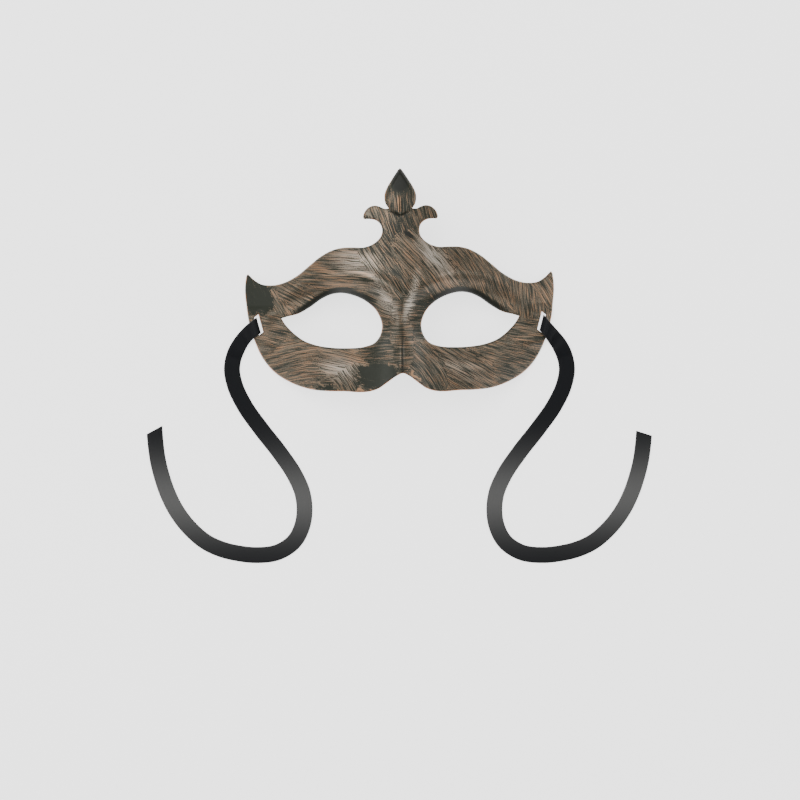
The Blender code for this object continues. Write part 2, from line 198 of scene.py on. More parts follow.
class NodeBoard:
    """Adds nodes to one tree and wires them."""

    def __init__(self, tree: bpy.types.NodeTree) -> None:
        """Start on a tree.

        Args:
            tree: The material's or the group's node tree.
        """
        self.tree = tree
        self.placed = 0

    def add(self, kind: str, **settings: object) -> bpy.types.Node:
        """Add one node.

        Args:
            kind: The node's type name.
            settings: Properties of the node and their values.

        Returns:
            The node.
        """
        node = self.tree.nodes.new(kind)
        node.location = (180 * (self.placed // 8), -160 * (self.placed % 8))
        self.placed += 1
        for key, value in settings.items():
            setattr(node, key, value)
        return node

    def feed(self, socket: bpy.types.NodeSocket, value: Input) -> None:
        """Wire an input, or set it if the value is a number.

        Args:
            socket: The input.
            value: Another node's output, a number or a row of numbers.
        """
        if isinstance(value, bpy.types.NodeSocket):
            self.tree.links.new(value, socket)
        else:
            socket.default_value = value

    def math(self, operation: str, first: Input, second: Input = 0.0) -> bpy.types.NodeSocket:
        """One step of arithmetic.

        Args:
            operation: Name of the operation.
            first: First number.
            second: Second number, if the operation has one.

        Returns:
            The result's output.
        """
        node = self.add("ShaderNodeMath", operation=operation)
        self.feed(node.inputs[0], first)
        self.feed(node.inputs[1], second)
        return node.outputs[0]

    def mix(self, share: Input, low: Input, high: Input) -> bpy.types.NodeSocket:
        """A number between two others.

        Args:
            share: 0 for the first, 1 for the second.
            low: First number.
            high: Second number.

        Returns:
            The mixed number's output.
        """
        node = self.add("ShaderNodeMix", data_type="FLOAT")
        for index, value in ((0, share), (2, low), (3, high)):
            self.feed(node.inputs[index], value)
        return node.outputs[0]

    def mix_vector(self, share: Input, low: Input, high: Input) -> bpy.types.NodeSocket:
        """A vector between two others.

        Args:
            share: 0 for the first, 1 for the second.
            low: First vector.
            high: Second vector.

        Returns:
            The mixed vector's output.
        """
        node = self.add("ShaderNodeMix", data_type="VECTOR")
        for index, value in ((0, share), (4, low), (5, high)):
            self.feed(node.inputs[index], value)
        return node.outputs[1]

    def mix_colour(self, share: Input, low: Input, high: Input) -> bpy.types.NodeSocket:
        """A colour between two others.

        Args:
            share: 0 for the first, 1 for the second.
            low: First colour, as an output or three numbers.
            high: Second colour.

        Returns:
            The mixed colour's output.
        """
        node = self.add("ShaderNodeMix", data_type="RGBA")
        for index, value in ((0, share), (6, low), (7, high)):
            self.feed(node.inputs[index], (*value, 1.0) if isinstance(value, tuple) else value)
        return node.outputs[2]

    def span(self, value: Input, start: Input, end: Input) -> bpy.types.NodeSocket:
        """A smooth step over a span of values.

        Args:
            value: The number to look at.
            start: Where the step is 0.
            end: Where the step is 1.

        Returns:
            The step's output.
        """
        node = self.add("ShaderNodeMapRange", interpolation_type="SMOOTHSTEP")
        for index, number in ((0, value), (1, start), (2, end)):
            self.feed(node.inputs[index], number)
        return node.outputs[0]

    def noise(self, place: Input, scale: float, detail: float) -> bpy.types.NodeSocket:
        """Cloudy noise around one half.

        Args:
            place: The vector that it is read at.
            scale: Lumps in each unit of the vector.
            detail: Number of finer layers.

        Returns:
            The noise's output.
        """
        node = self.add("ShaderNodeTexNoise")
        self.feed(node.inputs["Vector"], place)
        node.inputs["Scale"].default_value = scale
        node.inputs["Detail"].default_value = detail
        return node.outputs[0]

    def stretched(self, place: Input, sizes: tuple) -> bpy.types.NodeSocket:
        """A vector divided by a size on each axis.

        Args:
            place: The vector.
            sizes: Length of one lump on each axis.

        Returns:
            The divided vector's output.
        """
        node = self.add("ShaderNodeVectorMath", operation="DIVIDE")
        self.feed(node.inputs[0], place)
        self.feed(node.inputs[1], sizes)
        return node.outputs[0]

    def values(self, name: str) -> bpy.types.NodeSocket:
        """The numbers that a mesh keeps for its points.

        Args:
            name: Name of the numbers.

        Returns:
            The numbers' output.
        """
        return self.add("ShaderNodeAttribute", attribute_name=name).outputs["Fac"]

    def weighted(
        self, total: Input, value: Input, weight: float, middle: float = 0.0
    ) -> bpy.types.NodeSocket:
        """Add a share of one number to another.

        Args:
            total: The number to add to.
            value: The number to take a share of.
            weight: The share.
            middle: The value that adds nothing.

        Returns:
            The sum's output.
        """
        off = self.math("SUBTRACT", value, middle)
        return self.math("ADD", total, self.math("MULTIPLY", off, weight))

    def place_in_millimetres(self) -> bpy.types.NodeSocket:
        """The point on the object in millimetres.

        Returns:
            The point's output.
        """
        spot = self.add("ShaderNodeTexCoord").outputs["Object"]
        node = self.add("ShaderNodeVectorMath", operation="SCALE")
        self.feed(node.inputs[0], spot)
        node.inputs["Scale"].default_value = 1000.0
        return node.outputs[0]


def new_group(name: str, takes: dict[str, str], gives: dict[str, str]) -> bpy.types.NodeTree:
    """A shader node group with named inputs and outputs.

    Args:
        name: The group's name.
        takes: Kind of each input by its name.
        gives: Kind of each output by its name.

    Returns:
        The empty group.
    """
    tree = bpy.data.node_groups.new(name, "ShaderNodeTree")
    for sockets, way in ((takes, "INPUT"), (gives, "OUTPUT")):
        for label, kind in sockets.items():
            tree.interface.new_socket(label, in_out=way, socket_type="NodeSocket" + kind)
    return tree


class FinishGroups:
    """The effects that the finishes share, each built once as a node group."""

    def __init__(self) -> None:
        """Build every group."""
        self.brush_pass = self.build_brush_pass()
        self.tone_spot = self.build_tone_spot()
        self.edge_wear = self.build_edge_wear()
        self.fine_grain = self.build_fine_grain()

    @staticmethod
    def local_place(board: NodeBoard, takes: bpy.types.Node) -> tuple:
        """Coordinates along and across a turned ellipse, and the distance to its middle.

        Args:
            board: The group's board.
            takes: The group's input node, with Place, Centre, Angle, Reach and Bend.

        Returns:
            Outputs for along, across and distance in shares of the reach.
        """
        shift = board.add("ShaderNodeVectorMath", operation="SUBTRACT")
        board.feed(shift.inputs[0], takes.outputs["Place"])
        board.feed(shift.inputs[1], takes.outputs["Centre"])
        back_turn = board.math("MULTIPLY", takes.outputs["Angle"], -1.0)
        turn = board.add("ShaderNodeVectorRotate", rotation_type="Z_AXIS")
        board.feed(turn.inputs["Vector"], shift.outputs[0])
        board.feed(turn.inputs["Angle"], back_turn)
        split = board.add("ShaderNodeSeparateXYZ")
        board.feed(split.inputs[0], turn.outputs[0])
        along = split.outputs["X"]
        arc = board.math("MULTIPLY", board.math("MULTIPLY", along, along), takes.outputs["Bend"])
        across = board.math("SUBTRACT", split.outputs["Y"], arc)
        reach = board.add("ShaderNodeSeparateXYZ")
        board.feed(reach.inputs[0], takes.outputs["Reach"])
        long_share = board.math("DIVIDE", along, reach.outputs["X"])
        wide_share = board.math("DIVIDE", across, reach.outputs["Y"])
        squares = board.math(
            "ADD",
            board.math("MULTIPLY", long_share, long_share),
            board.math("MULTIPLY", wide_share, wide_share),
        )
        return along, across, board.math("SQRT", squares)

    def build_brush_pass(self) -> bpy.types.NodeTree:
        """One pass of the brush, laid over the passes before it.

        Returns:
            A group that hands on the stroke's own coordinates and its load of paint.
        """
        takes = {
            "Strokes": "Vector",
            "Load": "Float",
            "Place": "Vector",
            "Ragged": "Float",
            "Centre": "Vector",
            "Angle": "Float",
            "Reach": "Vector",
            "Bend": "Float",
            "Pass Load": "Float",
            "Seed": "Float",
        }
        tree = new_group("Brush pass", takes, {"Strokes": "Vector", "Load": "Float"})
        board = NodeBoard(tree)
        given = board.add("NodeGroupInput")
        along, across, distance = self.local_place(board, given)
        ragged = board.math("ADD", distance, given.outputs["Ragged"])
        covered = board.math("LESS_THAN", ragged, 1.0)
        soft = board.span(ragged, 1.1, 0.8)
        own = board.add("ShaderNodeCombineXYZ")
        for index, value in enumerate((along, across, given.outputs["Seed"])):
            board.feed(own.inputs[index], value)
        out = board.add("NodeGroupOutput")
        strokes = board.mix_vector(covered, given.outputs["Strokes"], own.outputs[0])
        board.feed(out.inputs["Strokes"], strokes)
        load = board.mix(soft, given.outputs["Load"], given.outputs["Pass Load"])
        board.feed(out.inputs["Load"], load)
        return tree

    def build_tone_spot(self) -> bpy.types.NodeTree:
        """A soft spot of painted light, lighter for a painted highlight and darker for painted shade.

        Returns:
            A group that adds its tone to the tone before it.
        """
        takes = {
            "Tone": "Float",
            "Place": "Vector",
            "Centre": "Vector",
            "Angle": "Float",
            "Reach": "Vector",
            "Bend": "Float",
            "Strength": "Float",
        }
        tree = new_group("Tone spot", takes, {"Tone": "Float"})
        board = NodeBoard(tree)
        given = board.add("NodeGroupInput")
        distance = self.local_place(board, given)[2]
        hump = board.span(distance, 1.0, 0.0)
        tone = board.math("MULTIPLY", hump, given.outputs["Strength"])
        out = board.add("NodeGroupOutput")
        board.feed(out.inputs["Tone"], board.math("ADD", given.outputs["Tone"], tone))
        return tree

    def build_edge_wear(self) -> bpy.types.NodeTree:
        """A thin line along an edge, broken up where it is worn unevenly.

        Returns:
            A group that turns the distance to the edge into a mask.
        """
        takes = {"Distance": "Float", "Width": "Float", "Place": "Vector", "Gaps": "Float"}
        tree = new_group("Edge wear", takes, {"Mask": "Float"})
        board = NodeBoard(tree)
        given = board.add("NodeGroupInput")
        lumps = board.noise(given.outputs["Place"], 0.45, 2.0)
        width = board.math("MULTIPLY", given.outputs["Width"], board.math("ADD", lumps, 0.5))
        inner = board.math("MULTIPLY", width, 0.4)
        line = board.span(given.outputs["Distance"], width, inner)
        breakup = board.noise(given.outputs["Place"], 0.16, 3.0)
        full = board.math("ADD", given.outputs["Gaps"], 0.12)
        kept = board.span(breakup, given.outputs["Gaps"], full)
        out = board.add("NodeGroupOutput")
        board.feed(out.inputs["Mask"], board.math("MULTIPLY", line, kept))
        return tree

    def build_fine_grain(self) -> bpy.types.NodeTree:
        """Fine uneven grain.

        Returns:
            A group that gives a number around one half.
        """
        takes = {"Place": "Vector", "Grain Size": "Vector"}
        tree = new_group("Fine grain", takes, {"Grain": "Float"})
        board = NodeBoard(tree)
        given = board.add("NodeGroupInput")
        fine = board.add("ShaderNodeVectorMath", operation="DIVIDE")
        board.feed(fine.inputs[0], given.outputs["Place"])
        board.feed(fine.inputs[1], given.outputs["Grain Size"])
        out = board.add("NodeGroupOutput")
        board.feed(out.inputs["Grain"], board.noise(fine.outputs[0], 1.0, 2.0))
        return tree


def placed_group(board: NodeBoard, tree: bpy.types.NodeTree, **values: Input) -> bpy.types.Node:
    """Place a group in a material with its own values.

    Args:
        board: The material's board.
        tree: The group.
        values: Value of each input, with underscores for the spaces of its name.

    Returns:
        The group's node.
    """
    node = board.add("ShaderNodeGroup", node_tree=tree)
    for key, value in values.items():
        board.feed(node.inputs[key.replace("_", " ")], value)
    return node


def new_material(name: str) -> tuple[bpy.types.Material, NodeBoard, bpy.types.Node]:
    """A material with an empty shader.

    Args:
        name: The material's name.

    Returns:
        The material, its board and its shader node.
    """
    material = bpy.data.materials.new(name)
    material.use_nodes = True
    return material, NodeBoard(material.node_tree), material.node_tree.nodes["Principled BSDF"]


@dataclass(frozen=True)
class BrushPass:
    """One pass of the dry brush.

    Place and reach are in millimetres. The angle is in degrees from +X, the bend is the rise
    over the square of the run, and the load runs from 0 for bare to 1 for full.
    """

    centre: Pair
    angle: float
    reach: Pair
    load: float
    bend: float = 0.0


@dataclass(frozen=True)
class ToneSpot:
    """A soft spot of painted light: a painted highlight where its strength is positive, painted shade
    where it is negative. Its fields are those of a brush pass.
    """

    centre: Pair
    angle: float
    reach: Pair
    strength: float
    bend: float = 0.0


@dataclass(frozen=True)
class BrushedCopperFinish:
    """Copper and bronze paint dry-brushed over olive black plastic, with painted highlights and painted
    shade laid into its colour.
    """

    olive_black: Colour = (0.019, 0.022, 0.014)
    bronze: Colour = (0.158, 0.132, 0.096)
    copper: Colour = (0.385, 0.215, 0.118)
    # Painted highlight: pale colour that the lighter strokes turn to under the highlight spots.
    painted_highlight: Colour = (0.520, 0.465, 0.390)
    rim_copper: Colour = (0.400, 0.170, 0.075)
    shadow: Colour = (0.010, 0.011, 0.008)
    bristle: tuple = (9.0, 0.20, 1.0)
    bundle: tuple = (13.0, 0.42, 1.0)
    second_set: tuple = (31.0, 17.0, 5.0)
    sway: float = 2.6
    ragged_share: float = 0.9
    bundle_weight: float = 0.85
    fleck_weight: float = 0.45
    load_weight: float = 0.75
    tone_weight: float = 0.10
    turned_weight: float = -0.30
    ridge_weight: float = 0.22
    warm_paint: float = 0.8
    warm_tone: float = -0.05
    warm_ridge: float = 0.25
    bronze_span: Pair = (0.42, 0.58)
    warm_span: Pair = (0.60, 0.74)
    copper_span: Pair = (0.46, 0.58)
    # Paint values over which the strokes take the painted highlight colour.
    painted_highlight_span: Pair = (0.46, 0.70)
    # Spans and shares of the painted shade: the darkest spots, the grooves and the turned-in eye rims are
    # mixed towards the shadow colour.
    deep_span: Pair = (-0.9, -1.6)
    crease_span: Pair = (0.25, 0.55)
    deep_share: float = 0.8
    turned_share: float = 0.85
    rim_width: float = 0.55
    rim_gaps: float = 0.40
    metallic: Pair = (0.05, 0.55)
    roughness: Pair = (0.42, 0.36)
    passes: tuple = (
        BrushPass((-45.0, -15.0), -4.0, (70.0, 50.0), 0.50),
        BrushPass((50.0, -15.0), -40.0, (70.0, 60.0), 0.50),
        BrushPass((0.0, 28.0), -72.0, (22.0, 30.0), 0.46),
        BrushPass((-71.0, -11.0), -58.0, (20.0, 11.0), 0.52),
        BrushPass((-57.0, -5.0), -28.0, (18.0, 12.0), 0.54),
        BrushPass((-37.0, 6.0), -3.0, (28.0, 15.0), 0.55),
        BrushPass((-84.0, -7.0), -68.0, (17.0, 8.5), 0.10),
        BrushPass((-76.0, -28.0), -14.0, (13.0, 11.0), 0.50),
        BrushPass((-55.0, -45.0), 7.0, (27.0, 13.0), 0.52, -0.004),
        BrushPass((-34.0, -46.0), -14.0, (16.0, 12.0), 0.56),
        BrushPass((-29.0, -57.0), -58.0, (8.0, 10.0), 0.47),
        BrushPass((-11.0, -38.0), 3.0, (14.0, 14.0), 0.42),
        BrushPass((-14.0, -56.0), -8.0, (12.5, 8.0), 0.05),
        BrushPass((48.0, 1.0), -62.0, (26.0, 17.0), 0.50, -0.006),
        BrushPass((76.0, -12.0), -84.0, (19.0, 12.0), 0.50),
        BrushPass((86.0, -7.0), -56.0, (16.0, 6.5), 0.52),
        BrushPass((76.0, -33.0), -6.0, (18.0, 10.0), 0.48, 0.006),
        BrushPass((58.0, -47.0), -16.0, (28.0, 14.0), 0.47),
        BrushPass((36.0, -52.0), -30.0, (24.0, 12.0), 0.50),
        BrushPass((14.0, -50.0), -50.0, (20.0, 9.0), 0.42, -0.010),
        BrushPass((-12.0, -12.0), -24.0, (10.0, 17.0), 0.50),
        BrushPass((13.0, -16.0), -10.0, (9.0, 20.0), 0.40, -0.012),
        BrushPass((0.0, -36.0), 2.0, (6.5, 18.0), 0.50),
        BrushPass((0.0, -10.0), 0.0, (6.0, 15.0), 0.46),
        BrushPass((-8.5, 11.0), -55.0, (24.0, 12.0), 0.44),
        BrushPass((15.5, 8.0), -49.0, (25.0, 12.0), 0.52, -0.002),
        BrushPass((0.0, 52.0), -88.0, (15.0, 9.5), 0.40),
    )
    # Painted light: spots of positive strength are painted highlights on the brows, nose flanks, forehead
    # and cheeks; spots of negative strength are painted shade on the neck, the inner eye corner, the nose
    # line and the petal.
    spots: tuple = (
        ToneSpot((-26.5, 10.5), -4.0, (24.0, 12.0), 0.62),
        ToneSpot((-10.5, -10.5), -60.0, (27.0, 6.5), 0.75, 0.008),
        ToneSpot((-36.0, -52.0), -22.0, (20.0, 12.0), 0.66),
        ToneSpot((0.0, 32.0), 90.0, (17.0, 12.0), -0.80),
        ToneSpot((19.0, 13.0), -50.0, (24.0, 9.0), 1.05),
        ToneSpot((5.5, -12.0), 70.0, (27.0, 5.0), 0.95, 0.006),
        ToneSpot((34.0, -51.0), -28.0, (24.0, 10.0), 0.35),
        ToneSpot((13.0, -14.0), -80.0, (17.0, 6.0), -0.60),
        ToneSpot((-0.6, -20.0), 90.0, (26.0, 2.2), -0.70),
        ToneSpot((0.0, 58.0), 90.0, (13.0, 9.0), -2.60),
        ToneSpot((5.0, 26.0), -35.0, (6.0, 2.0), -2.20),
        ToneSpot((15.0, 3.0), -50.0, (30.0, 16.0), -0.10),
    )

    def strokes(self, board: NodeBoard, groups: FinishGroups, place: Input) -> tuple:
        """Lay every pass of the brush over the last.

        Args:
            board: The material's board.
            groups: The shared effects.
            place: The point on the mask in millimetres.

        Returns:
            Outputs for the strokes' coordinates and their load.
        """
        coarse = board.noise(place, 0.22, 1.0)
        fine = board.noise(place, 1.3, 1.0)
        rough = board.weighted(coarse, fine, 0.5)
        ragged = board.math("MULTIPLY", board.math("SUBTRACT", rough, 0.75), self.ragged_share)
        way: Input = (0.0, 0.0, 0.0)
        load: Input = 0.5
        for number, one in enumerate(self.passes):
            node = placed_group(
                board,
                groups.brush_pass,
                Strokes=way,
                Load=load,
                Place=place,
                Ragged=ragged,
                Centre=(*one.centre, 0.0),
                Angle=math.radians(one.angle),
                Reach=(*one.reach, 1.0),
                Bend=one.bend,
                Pass_Load=one.load,
                Seed=7.3 * number,
            )
            way, load = node.outputs["Strokes"], node.outputs["Load"]
        return way, load

    def tone(self, board: NodeBoard, groups: FinishGroups, place: Input) -> Input:
        """Add up the spots of painted highlight and painted shade.

        Args:
            board: The material's board.
            groups: The shared effects.
            place: The point on the mask in millimetres.

        Returns:
            The tone's output: above 0 for painted highlight, below 0 for painted shade, 0 elsewhere.
        """
        tone: Input = 0.0
        for one in self.spots:
            node = placed_group(
                board,
                groups.tone_spot,
                Tone=tone,
                Place=place,
                Centre=(*one.centre, 0.0),
                Angle=math.radians(one.angle),
                Reach=(*one.reach, 1.0),
                Bend=one.bend,
                Strength=one.strength,
            )
            tone = node.outputs["Tone"]
        return tone

    def flat_place(self, board: NodeBoard, place: Input) -> Input:
        """The point on the mask with its height left out.

        Args:
            board: The material's board.
            place: The point on the mask in millimetres.

        Returns:
            The flat point's output.
        """
        node = board.add("ShaderNodeVectorMath", operation="MULTIPLY")
        board.feed(node.inputs[0], place)
        node.inputs[1].default_value = (1.0, 1.0, 0.0)
        return node.outputs[0]

    def bristles(self, board: NodeBoard, way: Input, place: Input) -> tuple:
        """The lines that the bristles leave.

        Args:
            board: The material's board.
            way: The strokes' coordinates.
            place: The point on the mask in millimetres.

        Returns:
            Outputs for thin lines, for bundles of lines and for a second set of thin lines.
        """
        split = board.add("ShaderNodeSeparateXYZ")
        board.feed(split.inputs[0], way)
        swayed = board.weighted(split.outputs["Y"], board.noise(place, 0.06, 2.0), self.sway, 0.5)
        wavy = board.add("ShaderNodeCombineXYZ")
        for index, value in enumerate((split.outputs["X"], swayed, split.outputs["Z"])):
            board.feed(wavy.inputs[index], value)
        spot = wavy.outputs[0]
        thin = board.noise(board.stretched(spot, self.bristle), 1.0, 2.0)
        shifted = board.add("ShaderNodeVectorMath", operation="ADD")
        board.feed(shifted.inputs[0], spot)
        shifted.inputs[1].default_value = self.second_set
        second = board.noise(board.stretched(shifted.outputs[0], self.bristle), 1.0, 1.0)
        bundle = board.noise(board.stretched(spot, self.bundle), 1.0, 1.0)
        return thin, bundle, second

    def build(self, groups: FinishGroups) -> bpy.types.Material:
        """Make the material.

        Args:
            groups: The shared effects.

        Returns:
            The material.
        """
        material, board, shader = new_material("brushed_copper")
        place = self.flat_place(board, board.place_in_millimetres())
        way, load = self.strokes(board, groups, place)
        tone = self.tone(board, groups, place)
        thin, bundle, second = self.bristles(board, way, place)
        flecks = board.noise(place, 1.9, 2.0)
        lumps = board.noise(place, 0.30, 2.0)
        turned = board.values("turned")
        ridge = board.values("ridge")

        paint = board.weighted(thin, bundle, self.bundle_weight, 0.5)
        paint = board.weighted(paint, flecks, self.fleck_weight, 0.5)
        paint = board.weighted(paint, load, self.load_weight, 0.5)
        # The spots of painted light move the strokes too: painted highlights brighten the paint and thin
        # the copper lines, painted shade darkens it.
        paint = board.weighted(paint, tone, self.tone_weight)
        # Less paint on the turned-in upper eye rims, which are partly bare and partly painted shade.
        paint = board.weighted(paint, turned, self.turned_weight)
        paint = board.weighted(paint, ridge, self.ridge_weight)
        warm = board.weighted(second, paint, self.warm_paint, 0.5)
        warm = board.weighted(warm, tone, self.warm_tone)
        warm = board.weighted(warm, ridge, self.warm_ridge)

        bronze = board.span(paint, *self.bronze_span)
        colour = board.mix_colour(bronze, self.olive_black, self.bronze)
        copper = board.math(
            "MULTIPLY", board.span(warm, *self.warm_span), board.span(paint, *self.copper_span)
        )
        colour = board.mix_colour(copper, colour, self.copper)
        # Painted highlight: under the spots with positive strength, the lighter strokes are mixed towards
        # the pale highlight colour.
        light = board.math("MAXIMUM", tone, 0.0)
        painted_highlight = board.math("MULTIPLY", board.span(paint, *self.painted_highlight_span), light)
        colour = board.mix_colour(painted_highlight, colour, self.painted_highlight)
        wear = placed_group(
            board,
            groups.edge_wear,
            Distance=board.values("rim"),
            Width=self.rim_width,
            Place=place,
            Gaps=self.rim_gaps,
        )
        # The copper edge wear is kept off the turned-in eye rims and the edges that face up; those edges
        # staying dark stands in for the shade on them, so the line is partly wear and partly painted
        # shade.
        bare = board.math("SUBTRACT", 1.0, turned)
        bare = board.math("MULTIPLY", bare, board.values("lower_edge"))
        edge = board.math("MULTIPLY", wear.outputs["Mask"], bare)
        colour = board.mix_colour(edge, colour, self.rim_copper)
        # Painted shade: the grooves, broken up by the flecks, the turned-in upper eye rims and the darkest
        # spots are mixed towards the shadow colour.
        breakup = board.span(flecks, *self.crease_span)
        crease = board.math("MULTIPLY", board.values("groove"), breakup)
        sunk = board.math("MAXIMUM", board.math("MULTIPLY", turned, self.turned_share), crease)
        deep = board.math("MULTIPLY", board.span(tone, *self.deep_span), self.deep_share)
        colour = board.mix_colour(board.math("MAXIMUM", sunk, deep), colour, self.shadow)
        board.feed(shader.inputs["Base Color"], colour)

        cover = board.math("MAXIMUM", bronze, edge)
        board.feed(shader.inputs["Metallic"], board.mix(cover, *self.metallic))
        board.feed(shader.inputs["Roughness"], board.mix(cover, *self.roughness))
        shader.inputs["Specular IOR Level"].default_value = 0.25
        bump = board.add("ShaderNodeBump")
        bump.inputs["Strength"].default_value = 0.5
        bump.inputs["Distance"].default_value = 0.00012
        board.feed(bump.inputs["Height"], board.mix(0.5, flecks, lumps))
        board.feed(shader.inputs["Normal"], bump.outputs["Normal"])
        return material


@dataclass(frozen=True)
class BarePlasticFinish:
    """The unpainted back of the moulding."""

    colour: Colour = (0.016, 0.017, 0.015)
    scuffed: Colour = (0.030, 0.031, 0.028)
    grain: tuple = (0.5, 0.5, 0.5)
    flow: tuple = (9.0, 30.0, 9.0)

    def build(self, groups: FinishGroups) -> bpy.types.Material:
        """Make the material.

        Args:
            groups: The shared effects.

        Returns:
            The material.
        """
        material, board, shader = new_material("bare_plastic")
        place = board.place_in_millimetres()
        grain = placed_group(board, groups.fine_grain, Place=place, Grain_Size=self.grain).outputs[0]
        flow = placed_group(board, groups.fine_grain, Place=place, Grain_Size=self.flow).outputs[0]
        board.feed(shader.inputs["Base Color"], board.mix_colour(flow, self.colour, self.scuffed))
        board.feed(shader.inputs["Roughness"], board.mix(grain, 0.34, 0.58))
        bump = board.add("ShaderNodeBump")
        bump.inputs["Strength"].default_value = 0.3
        bump.inputs["Distance"].default_value = 0.0001
        board.feed(bump.inputs["Height"], grain)
        board.feed(shader.inputs["Normal"], bump.outputs["Normal"])
        return material


@dataclass(frozen=True)
class BlackSatinFinish:
    """Black satin with fine lengthwise threads and a painted sheen, a lighter band across both ties at one
    height on the table.
    """

    black: Colour = (0.0095, 0.0102, 0.0118)
    sheen: Colour = (0.112, 0.112, 0.110)
    thread: tuple = (14.0, 0.22, 1.0)

    def build(self, groups: FinishGroups) -> bpy.types.Material:
        """Make the material.

        Args:
            groups: The shared effects.

        Returns:
            The material.
        """
        material, board, shader = new_material("black_satin")
        along = board.add("ShaderNodeCombineXYZ")
        board.feed(along.inputs[0], board.values("run"))
        board.feed(along.inputs[1], board.values("across"))
        threads = placed_group(board, groups.fine_grain, Place=along.outputs[0], Grain_Size=self.thread)
        grain = threads.outputs[0]
        # Painted sheen: along the lustre band the base colour turns from black towards the sheen colour.
        lustre = board.values("lustre")
        share = board.math("MULTIPLY", lustre, board.mix(grain, 0.92, 1.08))
        colour = board.mix_colour(share, self.black, self.sheen)
        place = board.place_in_millimetres()
        wear = placed_group(
            board, groups.edge_wear, Distance=board.values("selvedge"), Width=0.35, Place=place, Gaps=0.2
        )
        colour = board.mix_colour(board.math("MULTIPLY", wear.outputs[0], 0.5), colour, self.sheen)
        board.feed(shader.inputs["Base Color"], colour)
        board.feed(shader.inputs["Roughness"], board.mix(grain, 0.42, 0.55))
        shader.inputs["Specular IOR Level"].default_value = 0.08
        bump = board.add("ShaderNodeBump")
        bump.inputs["Strength"].default_value = 0.25
        bump.inputs["Distance"].default_value = 0.00005
        board.feed(bump.inputs["Height"], grain)
        board.feed(shader.inputs["Normal"], bump.outputs["Normal"])
        return material


@dataclass(frozen=True)
class PaleTableFinish:
    """The plain pale table."""

    colour: Colour = (0.93, 0.93, 0.93)
    shade: Colour = (0.90, 0.90, 0.90)

    def build(self) -> bpy.types.Material:
        """Make the material.

        Returns:
            The material.
        """
        material, board, shader = new_material("pale_table")
        cloud = board.noise(board.place_in_millimetres(), 0.004, 2.0)
        board.feed(shader.inputs["Base Color"], board.mix_colour(cloud, self.shade, self.colour))
        shader.inputs["Roughness"].default_value = 0.9
        shader.inputs["Emission Color"].default_value = (1.0, 1.0, 1.0, 1.0)
        shader.inputs["Emission Strength"].default_value = 1.9
        return material


@dataclass(frozen=True)
class SoftBox:
    """A soft light: where it hangs, what it faces, its width and height, and its watts."""

    name: str
    place: tuple
    aim: tuple
    size: Pair
    power: float

    def build(self) -> None:
        """Hang the light."""
        data = bpy.data.lights.new(self.name, "AREA")
        data.shape = "RECTANGLE"
        data.size, data.size_y = self.size
        data.energy = self.power
        light = bpy.data.objects.new(self.name, data)
        way = Vector(self.aim) - Vector(self.place)
        turned = way.to_track_quat("-Z", "Y").to_matrix().to_4x4()
        light.matrix_world = Matrix.Translation(self.place) @ turned
        bpy.context.scene.collection.objects.link(light)


@dataclass
class Studio:
    """Camera far above the mask, pale table and soft light."""

    distance: float = 14.0
    frame_width: float = 0.466
    sensor: float = 36.0
    centre: Pair = (-0.0004, -0.0697)
    tilt: float = math.radians(1.6)
    roll: float = math.radians(0.6)
    table_size: float = 6.0
    world_strength: float = 0.5
    boxes: tuple = (
        SoftBox("top_box", (-0.35, 0.45, 1.3), (0.0, -0.02, 0.0), (0.8, 0.8), 10.0),
        SoftBox("left_box", (-0.9, -0.2, 0.7), (0.0, 0.0, 0.03), (0.5, 0.9), 3.0),
        SoftBox("right_box", (0.9, -0.1, 0.7), (0.0, 0.0, 0.03), (0.5, 0.9), 2.5),
    )

    def build_camera(self) -> bpy.types.Object:
        """Look down on the table at the picture's angle.

        Returns:
            The camera.
        """
        data = bpy.data.cameras.new("camera")
        data.sensor_width = self.sensor
        data.lens = self.sensor * self.distance / self.frame_width
        data.clip_start, data.clip_end = 0.1, 4 * self.distance
        camera = bpy.data.objects.new("camera", data)
        bpy.context.scene.collection.objects.link(camera)
        back = Vector((-math.sin(self.tilt), 0.0, math.cos(self.tilt)))
        level = Vector((math.cos(self.tilt), 0.0, math.sin(self.tilt)))
        ahead = Vector((0.0, 1.0, 0.0))
        right = level * math.cos(self.roll) - ahead * math.sin(self.roll)
        up = level * math.sin(self.roll) + ahead * math.cos(self.roll)
        place = Vector((*self.centre, 0.0)) + back * self.distance
        turned = Matrix((right, up, back)).transposed().to_4x4()
        camera.matrix_world = Matrix.Translation(place) @ turned
        bpy.context.scene.camera = camera
        return camera

    def build_table(self) -> bpy.types.Object:
        """Lay the table under the mask.

        Returns:
            The table.
        """
        half = self.table_size / 2
        corners = [(-half, -half, 0.0), (half, -half, 0.0), (half, half, 0.0), (-half, half, 0.0)]
        table = mesh_object("table", corners, [(0, 1, 2, 3)])
        table.data.materials.append(PaleTableFinish().build())
        return table

    def build_light(self) -> None:
        """Fill the room with soft light and hang the softboxes."""
        world = bpy.data.worlds.new("soft_room")
        bpy.context.scene.world = world
        world.use_nodes = True
        shade = world.node_tree.nodes["Background"]
        shade.inputs["Color"].default_value = (1.0, 1.0, 1.0, 1.0)
        shade.inputs["Strength"].default_value = self.world_strength
        for box in self.boxes:
            box.build()

    def build(self) -> None:
        """Set up the camera, the table and the light."""
        self.build_camera()
        self.build_table()
        self.build_light()
        LOG.info("studio ready, lens %.0f mm", bpy.context.scene.camera.data.lens)


